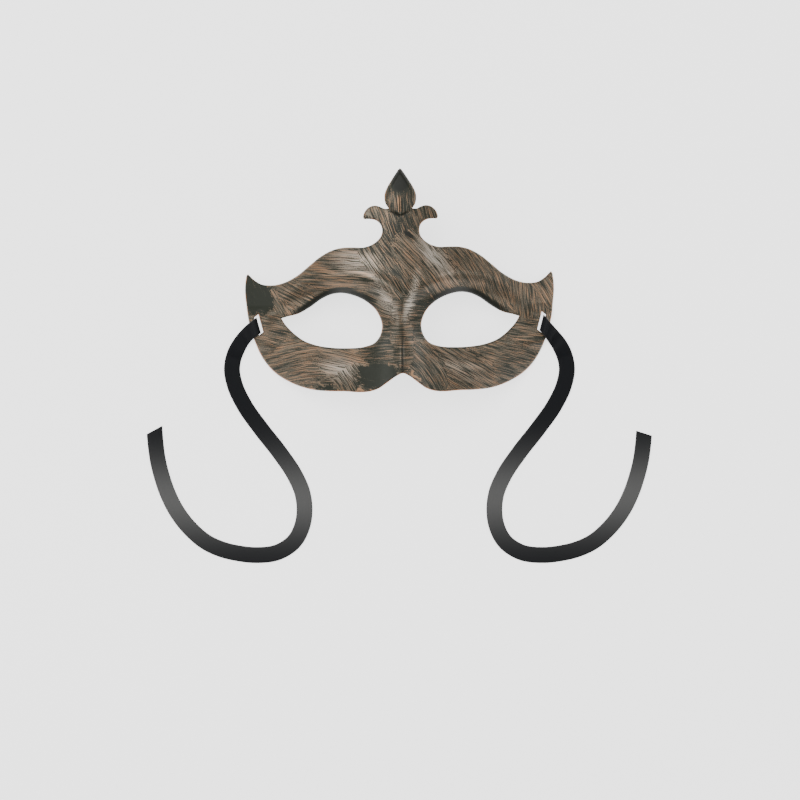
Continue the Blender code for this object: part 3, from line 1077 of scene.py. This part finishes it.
@dataclass
class MaskPlan:
    """The mask's edges seen from above. Tables hold shares of the half width and half height."""

    half_width: float = 0.090
    half_height: float = 0.065
    slot_inset: float = 0.0076
    slot_up: float = -0.3862
    slot_length: float = 0.0108
    slot_width: float = 0.0029
    slot_skew: float = 0.0006
    slot_angle: float = math.radians(15.0)
    petal_side: tuple = (
        (0.000, 1.000), (0.008, 0.992), (0.022, 0.966), (0.055, 0.897), (0.086, 0.825),
        (0.102, 0.765), (0.103, 0.732), (0.095, 0.680), (0.076, 0.641),
    )
    petal_base: tuple = ((0.058, 0.612), (0.028, 0.587), (0.000, 0.577))
    curl_and_brow: tuple = (
        (0.076, 0.641), (0.100, 0.638), (0.132, 0.657), (0.161, 0.668), (0.194, 0.660),
        (0.222, 0.631), (0.239, 0.586), (0.241, 0.559), (0.235, 0.549), (0.211, 0.548),
        (0.160, 0.535), (0.132, 0.502), (0.120, 0.450), (0.128, 0.395), (0.148, 0.358),
        (0.183, 0.322), (0.237, 0.296), (0.311, 0.296), (0.378, 0.294), (0.433, 0.277),
        (0.511, 0.223), (0.589, 0.138), (0.667, 0.050), (0.744, -0.008), (0.822, -0.033),
        (0.900, -0.020), (0.948, 0.024), (0.973, 0.058), (0.982, 0.068), (0.988, 0.058),
    )
    side_and_cheek: tuple = (
        (0.9945, 0.020), (1.000, -0.062), (0.992, -0.217), (0.978, -0.360), (0.939, -0.540),
        (0.891, -0.684), (0.803, -0.827), (0.722, -0.899), (0.666, -0.935), (0.579, -0.971),
        (0.467, -0.988), (0.367, -0.991), (0.256, -1.000), (0.206, -0.993), (0.161, -0.973),
        (0.097, -0.914), (0.042, -0.859),
    )
    nose_notch_top: Pair = (0.000, -0.834)
    eye_opening: tuple = (
        (0.769, -0.331), (0.733, -0.316), (0.663, -0.292), (0.586, -0.234), (0.508, -0.159),
        (0.450, -0.123), (0.392, -0.111), (0.314, -0.130), (0.237, -0.178), (0.159, -0.278),
        (0.127, -0.416), (0.140, -0.493), (0.178, -0.560), (0.237, -0.591), (0.353, -0.604),
        (0.450, -0.598), (0.547, -0.575), (0.624, -0.535), (0.702, -0.452), (0.747, -0.382),
        (0.769, -0.331),
    )

    def real_size(self, shares: tuple) -> Array:
        """Turn a table of shares into metres.

        Args:
            shares: Rows of shares of the half width and half height.

        Returns:
            Rows of x and y.
        """
        return numpy.array(shares) * (self.half_width, self.half_height)

    def outer_loop(self, step: float) -> Array:
        """The whole outer edge.

        Args:
            step: Wished distance between points.

        Returns:
            The closed loop, without its first point repeated.
        """
        petal = self.real_size(self.petal_side)
        petal_loop = curve_through(numpy.vstack((mirrored(petal), petal[1:])), step)
        half = self.real_size(self.curl_and_brow + self.side_and_cheek)
        nose = self.real_size((self.nose_notch_top,))
        body_loop = curve_through(numpy.vstack((half, nose, mirrored(half))), step)
        return numpy.vstack((petal_loop[:-1], body_loop[:-1]))

    def eye_loop(self, step: float) -> Array:
        """The right eye opening.

        Args:
            step: Wished distance between points.

        Returns:
            The closed loop from the outer corner over the top.
        """
        return curve_through(self.real_size(self.eye_opening), step)[:-1]

    def slot_frame(self) -> tuple[Array, Array, Array]:
        """The right slot's own frame.

        Returns:
            Its centre, the direction of its length and the direction to the rim.
        """
        along = numpy.array((-math.sin(self.slot_angle), -math.cos(self.slot_angle)))
        outward = numpy.array((math.cos(self.slot_angle), -math.sin(self.slot_angle)))
        centre = (self.half_width - self.slot_inset, self.slot_up * self.half_height)
        return numpy.array(centre), along, outward

    def slot_loop(self, step: float) -> Array:
        """The right slot with its slanted ends.

        Args:
            step: Wished distance between points.

        Returns:
            The closed loop.
        """
        centre, along, outward = self.slot_frame()
        corners = []
        for side, end in ((1, -1), (1, 1), (-1, 1), (-1, -1)):
            run = end * self.slot_length / 2 + side * self.slot_skew
            corners.append(centre + outward * side * self.slot_width / 2 + along * run)
        loop = []
        for i, corner in enumerate(corners):
            following = corners[(i + 1) % 4]
            count = max(1, round(numpy.linalg.norm(following - corner) / step))
            loop += [corner + (following - corner) * k / count for k in range(count)]
        return numpy.array(loop)

    def petal_half_width(self, y: Array) -> Array:
        """Half width of the raised petal.

        Args:
            y: Heights along the crest.

        Returns:
            Half widths, 0 outside the petal.
        """
        side = numpy.vstack((self.real_size(self.petal_base)[::-1], self.real_size(self.petal_side)[::-1]))
        return numpy.interp(y, side[:, 1], side[:, 0], left=0.0, right=0.0)


@dataclass
class MaskForm:
    """Height of the moulded front and back above the table."""

    plan: MaskPlan = field(default_factory=MaskPlan)
    wall: float = 0.0020
    rim_thickness: float = 0.0014
    rest_depth: float = 0.0008
    arch_rise: float = 0.040
    arch_power: float = 1.25
    crest_lean: float = 0.006
    chin_lean: float = 0.003
    cheek_wrap: float = 0.0095
    wrap_top_up: float = -0.231
    wrap_drop: float = 0.523
    chin_drop: float = 0.769
    brow_rise: float = 0.0030
    brow_across: float = 0.389
    brow_up: float = 0.062
    brow_sag: float = 0.246
    brow_spread: float = 0.108
    cheek_rise: float = 0.0020
    cheek_across: float = 0.500
    cheek_up: float = -0.800
    cheek_spread_across: float = 0.244
    cheek_spread_up: float = 0.154
    socket_depth: float = 0.0065
    socket_across: float = 0.433
    socket_up: float = -0.369
    socket_radius_across: float = 0.356
    socket_radius_up: float = 0.262
    socket_fade: float = 0.35
    nose_rise: float = 0.014
    nose_top_up: float = 0.185
    nose_tip_up: float = -0.831
    nose_spread_top: float = 0.083
    nose_spread_tip: float = 0.139
    petal_rise: float = 0.0013
    petal_edge: float = 0.0028
    rim_lift: float = 0.0027
    rim_lift_shift: float = 0.0029
    rim_lift_flat: float = 0.0080
    rim_lift_length: float = 0.0140
    rim_lift_across: Pair = (0.72, 0.90)
    steepest: float = 1.6
    groove_depth: float = 0.00035
    rib_share: float = 0.6
    nose_groove_ends: Pair = (-0.058, -0.026)
    nose_groove_fades: Pair = (0.006, 0.012)
    nose_groove_width: float = 0.0007
    petal_rib_ends: Pair = (0.0385, 0.0515)
    petal_rib_fades: Pair = (0.002, 0.004)
    petal_rib_x: float = -0.0006
    petal_rib_gap: float = 0.0006
    petal_rib_width: float = 0.0003
    base_groove_width: float = 0.00045
    base_groove_drop: float = 0.0001
    base_groove_x: float = -0.004
    base_groove_reach: float = 0.003

    def front_height(self, x: Array, y: Array) -> Array:
        """Height of the front surface.

        Args:
            x: Distances to the right of the middle.
            y: Distances up to the crest.

        Returns:
            The heights.
        """
        across = numpy.clip(numpy.abs(x) / self.plan.half_width, 0.0, 1.0)
        up = y / self.plan.half_height
        inward = 1.0 - across**2
        height = self.rim_thickness + self.arch_rise * inward**self.arch_power
        below = numpy.clip(self.wrap_top_up - up, 0.0, None)
        height -= self.cheek_wrap * (below / self.wrap_drop) ** 2 * across**2
        height -= self.chin_lean * (below / self.chin_drop) ** 2 * inward
        height -= self.crest_lean * numpy.clip(up, 0.0, None) ** 2 * inward
        crest = self.brow_up - self.brow_sag * (across / self.brow_across - 1.0) ** 2
        height += self.brow_rise * bell(up - crest, self.brow_spread) * inward
        cheek = bell(up - self.cheek_up, self.cheek_spread_up)
        height += self.cheek_rise * cheek * bell(across - self.cheek_across, self.cheek_spread_across)
        aside = (across - self.socket_across) / self.socket_radius_across
        above = (up - self.socket_up) / self.socket_radius_up
        beyond = numpy.clip(numpy.hypot(aside, above) - 1.0, 0.0, None)
        sunk = bell(beyond, self.socket_fade) * (0.35 + 0.65 * ease(above + 0.9))
        height -= self.socket_depth * sunk * inward
        down = ease((self.nose_top_up - up) / (self.nose_top_up - self.nose_tip_up))
        spread = self.nose_spread_top + (self.nose_spread_tip - self.nose_spread_top) * down
        height += self.nose_rise * down * bell(across, spread)
        petal = numpy.clip(self.plan.petal_half_width(y) - numpy.abs(x), 0.0, None)
        height += self.petal_rise * ease(petal / self.petal_edge)
        from_slot = numpy.abs(y - self.plan.slot_frame()[0][1] + self.rim_lift_shift)
        ramp = self.rim_lift_length - self.rim_lift_flat
        lifted = ease((self.rim_lift_length - from_slot) / ramp)
        start, end = self.rim_lift_across
        height += self.rim_lift * lifted * ease((across - start) / (end - start))
        return height

    def back_height(self, x: Array, y: Array) -> Array:
        """Height of the back surface, flat where the side rims rest.

        Args:
            x: Distances to the right of the middle.
            y: Distances up to the crest.

        Returns:
            The heights.
        """
        probe = 0.1 * self.wall
        slope_x = (self.front_height(x + probe, y) - self.front_height(x - probe, y)) / (2 * probe)
        slope_y = (self.front_height(x, y + probe) - self.front_height(x, y - probe)) / (2 * probe)
        steepness = numpy.minimum(numpy.sqrt(1.0 + slope_x**2 + slope_y**2), self.steepest)
        height = self.front_height(x, y) - self.wall * steepness
        return numpy.where(height < self.rest_depth, 0.0, height)

    @staticmethod
    def stretch(y: Array, ends: Pair, fades: Pair) -> Array:
        """A stretch of the middle line that fades in and out.

        Args:
            y: Distances up to the crest.
            ends: Lower and upper end of the stretch.
            fades: Lengths of the two fades.

        Returns:
            Shares from 0 to 1.
        """
        return ease((y - ends[0]) / fades[0]) * ease((ends[1] - y) / fades[1])

    def grooves(self, x: Array, y: Array) -> tuple[Array, Array]:
        """Fine grooves and ribs of the front: nose crease, petal rib and petal base.

        Args:
            x: Distances to the right of the middle.
            y: Distances up to the crest.

        Returns:
            How deep each point lies in a groove and how high on a rib, from 0 to 1.
        """
        nose = self.stretch(y, self.nose_groove_ends, self.nose_groove_fades)
        groove = nose * bell(x, self.nose_groove_width)
        rib = self.stretch(y, self.petal_rib_ends, self.petal_rib_fades)
        side = x - self.petal_rib_x
        groove = numpy.maximum(groove, rib * bell(side, 0.4 * self.petal_rib_gap))
        left = bell(side + self.petal_rib_gap, self.petal_rib_width)
        right = bell(side - self.petal_rib_gap, self.petal_rib_width)
        base = self.plan.real_size(self.plan.petal_base[::-1] + self.plan.petal_side[-1:])
        fall = y - numpy.interp(numpy.abs(x), base[:, 0], base[:, 1])
        near = ease((base[-1, 0] - numpy.abs(x)) / 0.001)
        dark = 0.55 + 0.45 * bell(x - self.base_groove_x, self.base_groove_reach)
        line = bell(fall + self.base_groove_drop, self.base_groove_width)
        return numpy.maximum(groove, near * line * dark), rib * (left + right)

    def detail(self, x: Array, y: Array) -> Array:
        """Small relief of the front that the walls don't follow.

        Args:
            x: Distances to the right of the middle.
            y: Distances up to the crest.

        Returns:
            Heights to add to the front.
        """
        groove, ridge = self.grooves(x, y)
        return self.groove_depth * (self.rib_share * ridge - groove)


@dataclass
class MaskShell:
    """The moulded shell with rounded edges, painted in front and bare behind."""

    form: MaskForm = field(default_factory=MaskForm)
    edge_step: float = 0.00060
    grid_step: float = 0.00085
    fine_step: float = 0.00036
    edge_round: float = 0.00100
    back_round: float = 0.00030
    rings: tuple = (0.00010, 0.00028, 0.00054, 0.00086, 0.00130, 0.00195)
    fine_boxes: tuple = (
        (-0.0100, 0.0365, 0.0100, 0.0640),
        (-0.0020, -0.0560, 0.0020, -0.0140),
    )
    turn_width: float = 0.0036
    turn_depth: float = 0.0022
    turn_power: float = 1.6
    turn_from_up: Pair = (-0.40, 0.14)
    turn_from_across: Pair = (0.14, 0.12)
    turn_to_across: Pair = (0.74, 0.16)

    def loops(self, step: float) -> list[Array]:
        """The outer edge and every opening.

        Args:
            step: Wished distance between points.

        Returns:
            The outer loop, the two eyes and the two slots.
        """
        plan = self.form.plan
        eye, slot = plan.eye_loop(step), plan.slot_loop(step)
        return [plan.outer_loop(step), eye, mirrored(eye), slot, mirrored(slot)]

    def edge_tree(self) -> tuple[KDTree, Array, Array]:
        """Every edge as close points.

        Returns:
            The search tree, its points and the number of the loop that each belongs to.
        """
        loops = self.loops(0.00015)
        points = numpy.vstack(loops)
        owner = numpy.concatenate([[i] * len(loop) for i, loop in enumerate(loops)])
        tree = KDTree(len(points))
        for i, (x, y) in enumerate(points):
            tree.insert((x, y, 0.0), i)
        tree.balance()
        return tree, points, owner

    def interior(self, loops: list[Array], tree: KDTree) -> Array:
        """Points between the edges: rows that follow each edge, and a grid.

        Args:
            loops: The outer loop and the openings.
            tree: The search tree of all edges.

        Returns:
            Rows of x and y.
        """
        found = []
        for number, loop in enumerate(loops):
            ways = numpy.roll(loop, -1, axis=0) - numpy.roll(loop, 1, axis=0)
            ways /= numpy.linalg.norm(ways, axis=1)[:, None]
            normals = numpy.column_stack((ways[:, 1], -ways[:, 0]))
            middle = inside((loop + 1e-5 * normals)[:1], loops[0])[0]
            if number:
                middle = not inside((loop + 1e-5 * normals)[:1], loop)[0]
            for width in self.rings:
                for x, y in loop + (width if middle else -width) * normals:
                    if tree.find((x, y, 0.0))[2] > 0.93 * width:
                        found.append((x, y))
        low, high = loops[0].min(axis=0), loops[0].max(axis=0)
        boxes = [((*low, *high), self.grid_step)] + [(box, self.fine_step) for box in self.fine_boxes]
        for box, step in boxes:
            rows = numpy.arange(box[1], box[3], step * math.sqrt(0.75))
            for i, y in enumerate(rows):
                for x in numpy.arange(box[0] + (i % 2) * step / 2, box[2], step):
                    if tree.find((x, y, 0.0))[2] > self.rings[-1] + 0.6 * step:
                        found.append((x, y))
        spots = numpy.array(found)
        kept = inside(spots, loops[0])
        for loop in loops[1:]:
            kept &= ~inside(spots, loop)
        return spots[kept]

    def turned_share(self, spots: Array, nearest: Array, owner: Array) -> Array:
        """How far the surface turns in at the upper rims of the eyes.

        Args:
            spots: The shell's points; not used.
            nearest: The edge point next to each.
            owner: The loop of that edge point.

        Returns:
            Shares from 0 to 1.
        """
        half = self.form.plan.half_width
        aside = numpy.abs(nearest[:, 0]) / half
        up = nearest[:, 1] / self.form.plan.half_height
        upper = ease((up - self.turn_from_up[0]) / self.turn_from_up[1])
        start = ease((aside - self.turn_from_across[0]) / self.turn_from_across[1])
        end = ease((self.turn_to_across[0] - aside) / self.turn_to_across[1])
        return upper * start * end * numpy.isin(owner, (1, 2))

    def build_mesh(self) -> bpy.types.Object:
        """Model the shell.

        Returns:
            The shell, with the distance to its edges kept for the paint.
        """
        loops = self.loops(self.edge_step)
        tree, edges, owner = self.edge_tree()
        extra = self.interior(loops, tree)
        points = [Vector(p) for loop in loops for p in loop] + [Vector(p) for p in extra]
        wires, start = [], 0
        for loop in loops:
            count = len(loop)
            wires += [(start + i, start + (i + 1) % count) for i in range(count)]
            start += count
        plan = delaunay_2d_cdt(points, wires, [], 0, 1e-7)
        corners = numpy.array([tuple(p) for p in plan[0]])
        faces = numpy.array([f for f in plan[2] if len(f) == 3])
        middles = corners[faces].mean(axis=1)
        kept = inside(middles, loops[0])
        for loop in loops[1:]:
            kept &= ~inside(middles, loop)
        faces = faces[kept]

        hits = [tree.find((x, y, 0.0)) for x, y in corners]
        gap = numpy.array([hit[2] for hit in hits])
        index = numpy.array([hit[1] for hit in hits])
        turned = self.turned_share(corners, edges[index], owner[index])
        x, y = corners[:, 0], corners[:, 1]
        near = 1.0 - numpy.clip(gap / self.turn_width, 0.0, 1.0)
        folded = self.turn_depth * turned * near**self.turn_power
        groove, ridge = self.form.grooves(x, y)
        relief = self.form.detail(x, y)
        front = self.form.front_height(x, y) + relief - folded
        back = self.form.back_height(x, y) - folded
        inset = numpy.clip(self.edge_round - gap, 0.0, None)
        front -= self.edge_round - numpy.sqrt(self.edge_round**2 - inset**2)
        inset = numpy.clip(self.back_round - gap, 0.0, None)
        back += self.back_round - numpy.sqrt(self.back_round**2 - inset**2)

        count = len(corners)
        vertices = [(a, b, c) for (a, b), c in zip(corners, front)]
        vertices += [(a, b, c) for (a, b), c in zip(corners, back)]
        polygons, slots, uses = [], [], set()
        for a, b, c in faces.tolist():
            polygons += [(a, b, c), (c + count, b + count, a + count)]
            slots += [Face.FRONT.value, Face.BACK.value]
            uses |= {(a, b), (b, c), (c, a)}
        for a, b in sorted(uses):
            if (b, a) not in uses:
                polygons.append((b, a, a + count, b + count))
                slots.append(Face.FRONT.value)
        shell = mesh_object("painted_mask", vertices, polygons)
        shell.data.polygons.foreach_set("material_index", slots)
        point_values(shell, "rim", numpy.tile(numpy.minimum(gap, 0.02) * 1000.0, 2))
        # Painted shade is laid along the turned-in upper eye rims and in the grooves: these bands tell the
        # paint where to darken.
        band = turned * ease((self.turn_width * 1.1 - gap) / (0.6 * self.turn_width))
        point_values(shell, "turned", numpy.tile(band, 2))
        point_values(shell, "groove", numpy.tile(groove, 2))
        point_values(shell, "ridge", numpy.tile(ridge, 2))
        # How far each point's nearest edge faces down: the copper edge wear keeps to these edges, and the
        # edges that face up stay dark like edges in shade.
        out = (edges[index] - corners) / numpy.maximum(gap, 1e-6)[:, None]
        point_values(shell, "lower_edge", numpy.tile(ease(0.75 - 0.9 * out[:, 1]), 2))
        return shell

    def build(self, groups: FinishGroups) -> bpy.types.Object:
        """Model and dress the shell.

        Args:
            groups: The shared effects.

        Returns:
            The shell.
        """
        shell = self.build_mesh()
        shell.data.materials.append(BrushedCopperFinish().build(groups))
        shell.data.materials.append(BarePlasticFinish().build(groups))
        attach(shell, BODY)
        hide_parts("mask_shell")
        LOG.info("%s: %d faces", shell.name, len(shell.data.polygons))
        return shell


@dataclass
class RibbonTie:
    """A flat ribbon through one slot, folded round the outer bar and stuck to itself."""

    side: Side
    form: MaskForm
    trim: float
    slant: float
    width: float = 0.0094
    thickness: float = 0.0010
    clearance: float = 0.0004
    slot_shift: float = 0.0002
    join_start: float = 0.0125
    join_end: float = 0.0185
    landing: float = 0.0240
    bar_tilt: float = math.radians(25.0)
    cut_fade: float = 0.012
    turn: float = math.radians(-0.6)
    bar_crossing: float = 0.715
    step: float = 0.0012
    line_steps: int = 80
    # Height on the table and spread of the painted sheen band across the ties.
    lustre_y: float = -0.126
    lustre_spread: float = 0.023
    route: tuple = (
        (0.0883, -0.0312), (0.0931, -0.0375), (0.0961, -0.0435), (0.0976, -0.0513),
        (0.0960, -0.0606), (0.0906, -0.0723), (0.0808, -0.0863), (0.0699, -0.1002),
        (0.0606, -0.1142), (0.0566, -0.1236), (0.0553, -0.1329), (0.0564, -0.1422),
        (0.0615, -0.1522), (0.0700, -0.1580), (0.0845, -0.1600), (0.0938, -0.1590),
        (0.1031, -0.1568), (0.1124, -0.1526), (0.1218, -0.1447), (0.1307, -0.1329),
        (0.1352, -0.1236), (0.1384, -0.1142), (0.1407, -0.1049), (0.1420, -0.0956),
        (0.1427, -0.0871),
    )

    def __post_init__(self) -> None:
        """Lay out the route on the table."""
        sign = self.side.value
        centre, along, outward = self.form.plan.slot_frame()
        fold = centre + outward * (self.form.plan.slot_width / 2 - self.clearance - self.thickness)
        fold = (fold + along * self.slot_shift) * (sign, 1)
        cosine, sine = math.cos(self.turn), math.sin(self.turn)
        turned = (numpy.array(self.route) * (sign, 1)) @ numpy.array(((cosine, sine), (-sine, cosine)))
        self.path = curve_through(numpy.vstack((fold, turned)), 0.0005)
        lengths = numpy.linalg.norm(numpy.diff(self.path, axis=0), axis=1)
        self.runs = numpy.concatenate(([0.0], numpy.cumsum(lengths)))
        self.whole = self.runs[-1] - self.trim
        self.ways = numpy.gradient(self.path, self.runs, axis=0)
        self.slot_way = along * (sign, 1)

    def place(self, run: float, across: float, height: float) -> tuple[float, float, float]:
        """A point of the ribbon.

        Args:
            run: Length along the route from the fold.
            across: Distance from the middle of the ribbon.
            height: Height above the table.

        Returns:
            The point.
        """
        x, y = (numpy.interp(run, self.runs, self.path[:, k]) for k in (0, 1))
        way = numpy.array([numpy.interp(run, self.runs, self.ways[:, k]) for k in (0, 1)])
        normal = self.side.value * numpy.array((way[1], -way[0])) / numpy.linalg.norm(way)
        share = float(ease((run - 2 * self.thickness) / self.landing))
        width_way = self.slot_way * (1 - share) + normal * share
        width_way /= numpy.linalg.norm(width_way)
        end = float(ease((run - self.whole) / self.cut_fade + 1.0))
        shift = -self.slant * across / self.width * end * way / numpy.linalg.norm(way)
        return (
            float(x + across * width_way[0] + shift[0]),
            float(y + across * width_way[1] + shift[1]),
            float(max(height, 0.0)),
        )

    def fold_profile(self) -> tuple[list[Pair], list[Pair]]:
        """The fold round the bar as pairs of run and height.

        Returns:
            The layer over the bar and the layer under it.
        """
        bar_start = (self.clearance + self.thickness) / math.cos(self.bar_tilt)
        half = self.thickness / 2
        spans = numpy.linspace(-self.width / 2, self.width / 2, 7)

        def below(run: float) -> tuple[Array, Array]:
            """Places across the ribbon at a run.

            Args:
                run: Length along the route from the fold.

            Returns:
                Their x and their y.
            """
            spots = numpy.array([self.place(run, v, 0.0)[:2] for v in spans])
            return spots[:, 0], spots[:, 1]

        def over(run: float) -> float:
            """Height of the layer over the bar at a run."""
            return float(self.form.front_height(*below(run)).max()) + self.clearance + half

        def under(run: float) -> float:
            """Height of the layer under the bar at a run."""
            return float(self.form.back_height(*below(run)).min()) - self.clearance - half

        plan = self.form.plan
        rim = bar_start + self.bar_crossing * (plan.slot_inset - plan.slot_width / 2)
        top, bottom = over(bar_start), under(bar_start)
        upper = [
            (self.landing, half),
            (self.join_end + half, 3 * half),
            (self.join_start, 3 * half),
            (0.75 * rim + 0.25 * self.join_start, over(rim) - self.clearance),
            (rim, over(rim)),
            ((rim + bar_start) / 2, over((rim + bar_start) / 2)),
            (bar_start, top),
            (half, top - 1.6 * half),
        ]
        lower = [
            (half, bottom + 1.6 * half),
            (bar_start, bottom),
            ((rim + bar_start) / 2, under((rim + bar_start) / 2)),
            (rim, min(under(rim), self.thickness)),
            (0.6 * rim + 0.4 * self.join_start, half),
            (self.join_start, half),
            (self.join_end, half),
        ]
        return upper, lower

    def section(self) -> list[Pair]:
        """The ribbon's rounded cross-section.

        Returns:
            Pairs of across and thickness.
        """
        half, edge = self.width / 2, 0.45 * self.thickness
        flat = numpy.linspace(half - edge, -half + edge, 9)
        turns = numpy.linspace(math.pi / 2, 3 * math.pi / 2, 7)[1:-1]
        top = [(v, edge) for v in flat]
        left = [(-half + edge + edge * math.cos(t), edge * math.sin(t)) for t in turns]
        bottom = [(v, -edge) for v in flat[::-1]]
        right = [(half - edge - edge * math.cos(t), -edge * math.sin(t)) for t in turns]
        return top + left + bottom + right

    def build_mesh(self) -> bpy.types.Object:
        """Model the ribbon.

        Returns:
            The ribbon, with its run, width, edge distance and lustre kept for the material.
        """
        upper, lower = self.fold_profile()
        half = self.thickness / 2
        count = round((self.whole - self.landing) / self.step)
        free = [(self.whole - (self.whole - self.landing) * i / count, half) for i in range(count)]
        loop = curve_through(numpy.array(upper + lower), 0.0004)
        line = numpy.vstack((free, loop))
        ways = numpy.gradient(line, axis=0)
        ways /= numpy.linalg.norm(ways, axis=1)[:, None]
        section = self.section()
        vertices, run_values, across_values, edge_values = [], [], [], []
        for (run, height), (way_run, way_height) in zip(line, ways):
            for across, rise in section:
                spot = (run + rise * way_height, height - rise * way_run)
                vertices.append(self.place(spot[0], across, spot[1]))
                run_values.append(run * 1000.0)
                across_values.append(across * 1000.0)
                edge_values.append((self.width / 2 - abs(across)) * 1000.0)
        size = len(section)
        polygons = []
        for i in range(len(line) - 1):
            for k in range(size):
                a, b = i * size + k, i * size + (k + 1) % size
                polygons.append((a, b, b + size, a + size))
        last = (len(line) - 1) * size
        polygons.append(tuple(reversed(range(size))))
        polygons.append(tuple(range(last, last + size)))
        name = "satin_tie_left" if self.side is Side.LEFT else "satin_tie_right"
        ribbon = mesh_object(name, vertices, polygons)
        point_values(ribbon, "run", run_values)
        point_values(ribbon, "across", across_values)
        point_values(ribbon, "selvedge", edge_values)
        # Painted sheen for the satin: a lighter band across the ties at one height on the table.
        y = numpy.array(vertices)[:, 1]
        point_values(ribbon, "lustre", bell(y - self.lustre_y, self.lustre_spread))
        return ribbon

    def centre_line(self) -> list[tuple[float, float, float]]:
        """Middle of the ribbon.

        Returns:
            Points from the fold to the cut end.
        """
        line = self.fold_profile()[0][::-1]
        free = (self.whole - self.landing) / self.line_steps
        line += [(self.landing + free * (i + 1), self.thickness / 2) for i in range(self.line_steps)]
        return [self.place(run, 0.0, height) for run, height in line]

    def build(self, satin: bpy.types.Material) -> bpy.types.Object:
        """Model and dress the ribbon.

        Args:
            satin: The ribbon's material.

        Returns:
            The ribbon.
        """
        ribbon = self.build_mesh()
        ribbon.data.materials.append(satin)
        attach(ribbon, BODY)
        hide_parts("ribbon_left" if self.side is Side.LEFT else "ribbon_right")
        line = self.centre_line()
        steps = zip(line, line[1:])
        length = sum((Vector(b) - Vector(a)).length for a, b in steps)
        LOG.info("%s: %.0f mm long", ribbon.name, length * 1000.0)
        return ribbon


def main() -> None:
    """Build the scene in order."""
    logging.basicConfig(level=logging.INFO, format="%(message)s")
    Studio().build()
    groups = FinishGroups()
    form = MaskForm()
    satin = BlackSatinFinish().build(groups)
    RibbonTie(Side.LEFT, form, trim=0.0, slant=0.0043).build(satin)
    RibbonTie(Side.RIGHT, form, trim=0.0019, slant=0.0023).build(satin)
    MaskShell(form).build(groups)


if __name__ == "__main__":
    main()
